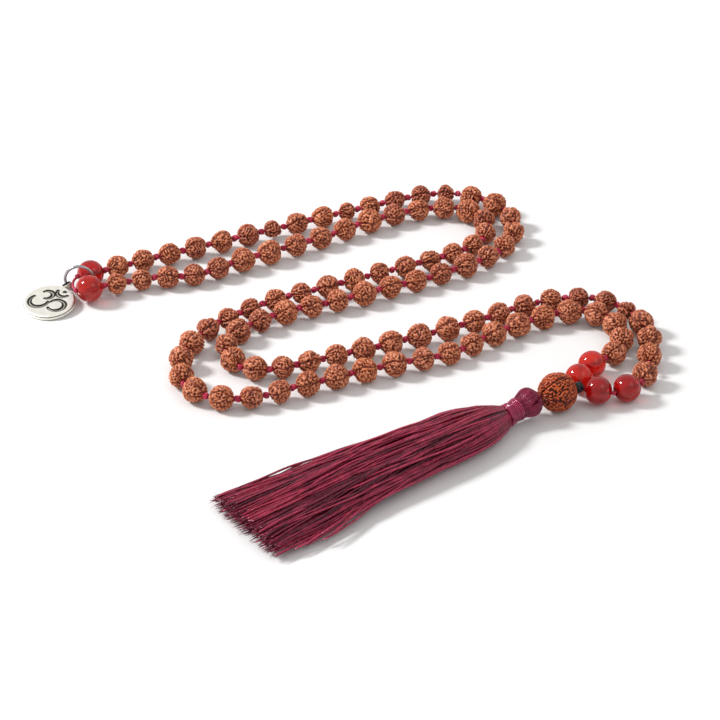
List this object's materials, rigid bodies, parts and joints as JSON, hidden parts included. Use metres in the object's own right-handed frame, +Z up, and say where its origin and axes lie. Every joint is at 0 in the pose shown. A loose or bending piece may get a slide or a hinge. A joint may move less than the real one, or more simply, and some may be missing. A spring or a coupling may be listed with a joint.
{
  "type": "mala prayer beads",
  "caption": "Doubled loop of knotted seed beads with round stone spacers, a larger guru bead, a thread tassel and a round charm on a jump ring.",
  "frame": {"origin": "on the table, under the middle of the whole object as it lies", "axes": "+Z is up off the table, +Y runs away from the tassel towards the far bend, +X runs towards the guru bead's side"},
  "size_m": [0.1864, 0.192, 0.0114],
  "materials": {
    "seed": "dry ridged seed, tan brown with dark grooves",
    "guru_seed": "oiled ridged seed, orange brown with near-black grooves",
    "stone": "polished translucent red stone",
    "cord": "crimson nylon cord",
    "black_thread": "black waxed thread",
    "tassel_thread": "maroon rayon thread",
    "binding_thread": "shiny wound maroon thread",
    "silver": "antique silver, dark in the engraving"
  },
  "bodies": {
    "strands": {"cord_outer_strand": "cord", "cord_inner_strand": "cord", "knots_outer_strand": "cord", "knots_inner_strand": "cord", "guru_knot": "black_thread", "beads_outer_rest": "seed", "beads_inner_rest": "seed"},
    "guru_bead": {"guru_bead": "guru_seed"},
    "stone_outer_1": {"stone_outer_1": "stone"},
    "stone_outer_2": {"stone_outer_2": "stone"},
    "stone_outer_end": {"stone_outer_end": "stone"},
    "bead_outer_01": {"bead_outer_01": "seed"},
    "bead_outer_02": {"bead_outer_02": "seed"},
    "bead_outer_03": {"bead_outer_03": "seed"},
    "bead_outer_04": {"bead_outer_04": "seed"},
    "bead_outer_05": {"bead_outer_05": "seed"},
    "bead_outer_06": {"bead_outer_06": "seed"},
    "bead_outer_07": {"bead_outer_07": "seed"},
    "bead_outer_08": {"bead_outer_08": "seed"},
    "bead_outer_09": {"bead_outer_09": "seed"},
    "bead_outer_10": {"bead_outer_10": "seed"},
    "bead_outer_11": {"bead_outer_11": "seed"},
    "bead_outer_12": {"bead_outer_12": "seed"},
    "bead_outer_13": {"bead_outer_13": "seed"},
    "bead_outer_14": {"bead_outer_14": "seed"},
    "bead_outer_15": {"bead_outer_15": "seed"},
    "bead_outer_16": {"bead_outer_16": "seed"},
    "bead_outer_17": {"bead_outer_17": "seed"},
    "bead_outer_18": {"bead_outer_18": "seed"},
    "bead_outer_19": {"bead_outer_19": "seed"},
    "bead_outer_20": {"bead_outer_20": "seed"},
    "stone_inner_1": {"stone_inner_1": "stone"},
    "stone_inner_2": {"stone_inner_2": "stone"},
    "stone_inner_end": {"stone_inner_end": "stone"},
    "bead_inner_01": {"bead_inner_01": "seed"},
    "bead_inner_02": {"bead_inner_02": "seed"},
    "bead_inner_03": {"bead_inner_03": "seed"},
    "bead_inner_04": {"bead_inner_04": "seed"},
    "bead_inner_05": {"bead_inner_05": "seed"},
    "bead_inner_06": {"bead_inner_06": "seed"},
    "bead_inner_07": {"bead_inner_07": "seed"},
    "bead_inner_08": {"bead_inner_08": "seed"},
    "bead_inner_09": {"bead_inner_09": "seed"},
    "bead_inner_10": {"bead_inner_10": "seed"},
    "bead_inner_11": {"bead_inner_11": "seed"},
    "bead_inner_12": {"bead_inner_12": "seed"},
    "bead_inner_13": {"bead_inner_13": "seed"},
    "bead_inner_14": {"bead_inner_14": "seed"},
    "bead_inner_15": {"bead_inner_15": "seed"},
    "bead_inner_16": {"bead_inner_16": "seed"},
    "bead_inner_17": {"bead_inner_17": "seed"},
    "bead_inner_18": {"bead_inner_18": "seed"},
    "bead_inner_19": {"bead_inner_19": "seed"},
    "bead_inner_20": {"bead_inner_20": "seed"},
    "jump_ring": {"jump_ring": "silver"},
    "charm": {"charm": "silver"},
    "tassel_link": {"tassel_cord": "cord"},
    "tassel": {"tassel_head": "tassel_thread", "tassel_binding": "binding_thread", "tassel_skirt": "tassel_thread"}
  },
  "joints": [
    {"name": "tassel_yaw", "type": "hinge", "parent": "strands", "child": "tassel_link", "pos_m": [0.05645, -0.02337, 0.0063], "axis": [0, 0, 1], "range_deg": [-15, 15]},
    {"name": "tassel_lift", "type": "hinge", "parent": "tassel_link", "child": "tassel", "pos_m": [0.05645, -0.02337, 0.0063], "axis": [-0.5736, 0.8192, 0], "range_deg": [0, 30]},
    {"name": "ring_swing", "type": "hinge", "parent": "strands", "child": "jump_ring", "pos_m": [-0.0787, 0.03957, 0.0044], "axis": [-0.0196, 0.9977, -0.0649], "range_deg": [0, 12]},
    {"name": "charm_swing", "type": "hinge", "parent": "jump_ring", "child": "charm", "pos_m": [-0.08034, 0.04115, 0.00263], "axis": [-0.829, 0.5592, 0], "range_deg": [0, 20]},
    {"name": "guru_bead_spin", "type": "hinge", "parent": "strands", "child": "guru_bead", "pos_m": [0.0617, -0.02033, 0.0057], "axis": [0.8619, 0.4976, -0.0981], "continuous": true},
    {"name": "stone_outer_1_spin", "type": "hinge", "parent": "strands", "child": "stone_outer_1", "pos_m": [0.07329, -0.01764, 0.00445], "axis": [0.9861, -0.1328, -0.1003], "continuous": true},
    {"name": "stone_outer_2_spin", "type": "hinge", "parent": "strands", "child": "stone_outer_2", "pos_m": [0.08163, -0.01569, 0.004], "axis": [0.8398, 0.5428, 0], "continuous": true},
    {"name": "stone_outer_end_spin", "type": "hinge", "parent": "strands", "child": "stone_outer_end", "pos_m": [-0.07384, 0.04594, 0.004], "axis": [-0.9216, -0.3881, 0], "continuous": true},
    {"name": "bead_outer_01_spin", "type": "hinge", "parent": "strands", "child": "bead_outer_01", "pos_m": [0.08716, -0.00799, 0.00385], "axis": [0.247, 0.9686, -0.0288], "continuous": true},
    {"name": "bead_outer_02_spin", "type": "hinge", "parent": "strands", "child": "bead_outer_02", "pos_m": [0.08899, 0.00173, 0.00371], "axis": [0.1185, 0.993, 0], "continuous": true},
    {"name": "bead_outer_03_spin", "type": "hinge", "parent": "strands", "child": "bead_outer_03", "pos_m": [0.08945, 0.01096, 0.00371], "axis": [-0.0257, 0.9997, 0], "continuous": true},
    {"name": "bead_outer_04_spin", "type": "hinge", "parent": "strands", "child": "bead_outer_04", "pos_m": [0.08766, 0.01955, 0.00371], "axis": [-0.3749, 0.9271, 0], "continuous": true},
    {"name": "bead_outer_05_spin", "type": "hinge", "parent": "strands", "child": "bead_outer_05", "pos_m": [0.08374, 0.02648, 0.00355], "axis": [-0.6262, 0.7785, -0.0425], "continuous": true},
    {"name": "bead_outer_06_spin", "type": "hinge", "parent": "strands", "child": "bead_outer_06", "pos_m": [0.07776, 0.03126, 0.0034], "axis": [-0.8831, 0.4692, 0], "continuous": true},
    {"name": "bead_outer_07_spin", "type": "hinge", "parent": "strands", "child": "bead_outer_07", "pos_m": [0.07003, 0.03319, 0.0034], "axis": [-0.9999, -0.0119, 0], "continuous": true},
    {"name": "bead_outer_08_spin", "type": "hinge", "parent": "strands", "child": "bead_outer_08", "pos_m": [0.06191, 0.03199, 0.0034], "axis": [-0.9632, -0.269, 0], "continuous": true},
    {"name": "bead_outer_09_spin", "type": "hinge", "parent": "strands", "child": "bead_outer_09", "pos_m": [0.05398, 0.02888, 0.0034], "axis": [-0.8887, -0.4584, 0], "continuous": true},
    {"name": "bead_outer_10_spin", "type": "hinge", "parent": "strands", "child": "bead_outer_10", "pos_m": [0.04651, 0.02464, 0.0034], "axis": [-0.8497, -0.5273, 0], "continuous": true},
    {"name": "bead_outer_11_spin", "type": "hinge", "parent": "strands", "child": "bead_outer_11", "pos_m": [0.03909, 0.02027, 0.00355], "axis": [-0.8724, -0.4875, 0.0355], "continuous": true},
    {"name": "bead_outer_12_spin", "type": "hinge", "parent": "strands", "child": "bead_outer_12", "pos_m": [0.03119, 0.01611, 0.00371], "axis": [-0.8955, -0.4451, 0], "continuous": true},
    {"name": "bead_outer_13_spin", "type": "hinge", "parent": "strands", "child": "bead_outer_13", "pos_m": [0.02301, 0.01213, 0.00371], "axis": [-0.9031, -0.4295, 0], "continuous": true},
    {"name": "bead_outer_14_spin", "type": "hinge", "parent": "strands", "child": "bead_outer_14", "pos_m": [0.01497, 0.0084, 0.00371], "axis": [-0.9107, -0.413, 0], "continuous": true},
    {"name": "bead_outer_15_spin", "type": "hinge", "parent": "strands", "child": "bead_outer_15", "pos_m": [0.00694, 0.00495, 0.00371], "axis": [-0.927, -0.375, 0], "continuous": true},
    {"name": "bead_outer_16_spin", "type": "hinge", "parent": "strands", "child": "bead_outer_16", "pos_m": [-0.00095, 0.00192, 0.00355], "axis": [-0.9391, -0.3415, -0.0374], "continuous": true},
    {"name": "bead_outer_17_spin", "type": "hinge", "parent": "strands", "child": "bead_outer_17", "pos_m": [-0.00855, -0.00108, 0.0034], "axis": [-0.9198, -0.3925, 0], "continuous": true},
    {"name": "bead_outer_18_spin", "type": "hinge", "parent": "strands", "child": "bead_outer_18", "pos_m": [-0.01612, -0.0042, 0.00355], "axis": [-0.9285, -0.3694, 0.0373], "continuous": true},
    {"name": "bead_outer_19_spin", "type": "hinge", "parent": "strands", "child": "bead_outer_19", "pos_m": [-0.02407, -0.00497, 0.00371], "axis": [-0.9843, 0.1767, 0], "continuous": true},
    {"name": "bead_outer_20_spin", "type": "hinge", "parent": "strands", "child": "bead_outer_20", "pos_m": [-0.03046, -0.0005, 0.00371], "axis": [-0.5156, 0.8568, 0], "continuous": true},
    {"name": "stone_inner_1_spin", "type": "hinge", "parent": "strands", "child": "stone_inner_1", "pos_m": [0.06814, -0.01097, 0.00445], "axis": [0.0775, 0.9924, -0.0959], "continuous": true},
    {"name": "stone_inner_2_spin", "type": "hinge", "parent": "strands", "child": "stone_inner_2", "pos_m": [0.07219, -0.00346, 0.004], "axis": [0.7888, 0.6146, 0], "continuous": true},
    {"name": "stone_inner_end_spin", "type": "hinge", "parent": "strands", "child": "stone_inner_end", "pos_m": [-0.07366, 0.03658, 0.00461], "axis": [-0.916, -0.3987, 0.0445], "continuous": true},
    {"name": "bead_inner_01_spin", "type": "hinge", "parent": "strands", "child": "bead_inner_01", "pos_m": [0.07877, 0.00283, 0.00385], "axis": [0.6295, 0.7762, -0.0361], "continuous": true},
    {"name": "bead_inner_02_spin", "type": "hinge", "parent": "strands", "child": "bead_inner_02", "pos_m": [0.08145, 0.01022, 0.00371], "axis": [0.0278, 0.9996, 0], "continuous": true},
    {"name": "bead_inner_03_spin", "type": "hinge", "parent": "strands", "child": "bead_inner_03", "pos_m": [0.08003, 0.01835, 0.00371], "axis": [-0.3679, 0.9299, 0], "continuous": true},
    {"name": "bead_inner_04_spin", "type": "hinge", "parent": "strands", "child": "bead_inner_04", "pos_m": [0.0748, 0.02411, 0.00371], "axis": [-0.8917, 0.4526, 0], "continuous": true},
    {"name": "bead_inner_05_spin", "type": "hinge", "parent": "strands", "child": "bead_inner_05", "pos_m": [0.06704, 0.02517, 0.00371], "axis": [-0.981, -0.1941, 0], "continuous": true},
    {"name": "bead_inner_06_spin", "type": "hinge", "parent": "strands", "child": "bead_inner_06", "pos_m": [0.05922, 0.02234, 0.00371], "axis": [-0.8798, -0.4753, 0], "continuous": true},
    {"name": "bead_inner_07_spin", "type": "hinge", "parent": "strands", "child": "bead_inner_07", "pos_m": [0.05182, 0.01813, 0.00371], "axis": [-0.8579, -0.5138, 0], "continuous": true},
    {"name": "bead_inner_08_spin", "type": "hinge", "parent": "strands", "child": "bead_inner_08", "pos_m": [0.04469, 0.01334, 0.00371], "axis": [-0.8001, -0.5999, 0], "continuous": true},
    {"name": "bead_inner_09_spin", "type": "hinge", "parent": "strands", "child": "bead_inner_09", "pos_m": [0.03824, 0.00805, 0.00355], "axis": [-0.7432, -0.668, -0.0378], "continuous": true},
    {"name": "bead_inner_10_spin", "type": "hinge", "parent": "strands", "child": "bead_inner_10", "pos_m": [0.03161, 0.00345, 0.0034], "axis": [-0.8857, -0.4643, 0], "continuous": true},
    {"name": "bead_inner_11_spin", "type": "hinge", "parent": "strands", "child": "bead_inner_11", "pos_m": [0.02401, 0.0002, 0.00355], "axis": [-0.9458, -0.3226, 0.0364], "continuous": true},
    {"name": "bead_inner_12_spin", "type": "hinge", "parent": "strands", "child": "bead_inner_12", "pos_m": [0.01581, -0.00272, 0.00371], "axis": [-0.9377, -0.3474, 0], "continuous": true},
    {"name": "bead_inner_13_spin", "type": "hinge", "parent": "strands", "child": "bead_inner_13", "pos_m": [0.00743, -0.00598, 0.00371], "axis": [-0.9264, -0.3766, 0], "continuous": true},
    {"name": "bead_inner_14_spin", "type": "hinge", "parent": "strands", "child": "bead_inner_14", "pos_m": [-0.00082, -0.00948, 0.00371], "axis": [-0.9141, -0.4054, 0], "continuous": true},
    {"name": "bead_inner_15_spin", "type": "hinge", "parent": "strands", "child": "bead_inner_15", "pos_m": [-0.00899, -0.01314, 0.00371], "axis": [-0.9117, -0.4108, 0], "continuous": true},
    {"name": "bead_inner_16_spin", "type": "hinge", "parent": "strands", "child": "bead_inner_16", "pos_m": [-0.01688, -0.01671, 0.00355], "axis": [-0.9091, -0.415, -0.0366], "continuous": true},
    {"name": "bead_inner_17_spin", "type": "hinge", "parent": "strands", "child": "bead_inner_17", "pos_m": [-0.02472, -0.01966, 0.00355], "axis": [-0.957, -0.2877, 0.0363], "continuous": true},
    {"name": "bead_inner_18_spin", "type": "hinge", "parent": "strands", "child": "bead_inner_18", "pos_m": [-0.03322, -0.02015, 0.00371], "axis": [-0.9869, 0.1613, 0], "continuous": true},
    {"name": "bead_inner_19_spin", "type": "hinge", "parent": "strands", "child": "bead_inner_19", "pos_m": [-0.0409, -0.01633, 0.00371], "axis": [-0.7208, 0.6932, 0], "continuous": true},
    {"name": "bead_inner_20_spin", "type": "hinge", "parent": "strands", "child": "bead_inner_20", "pos_m": [-0.04505, -0.00883, 0.00371], "axis": [-0.21, 0.9777, 0], "continuous": true}
  ]
}
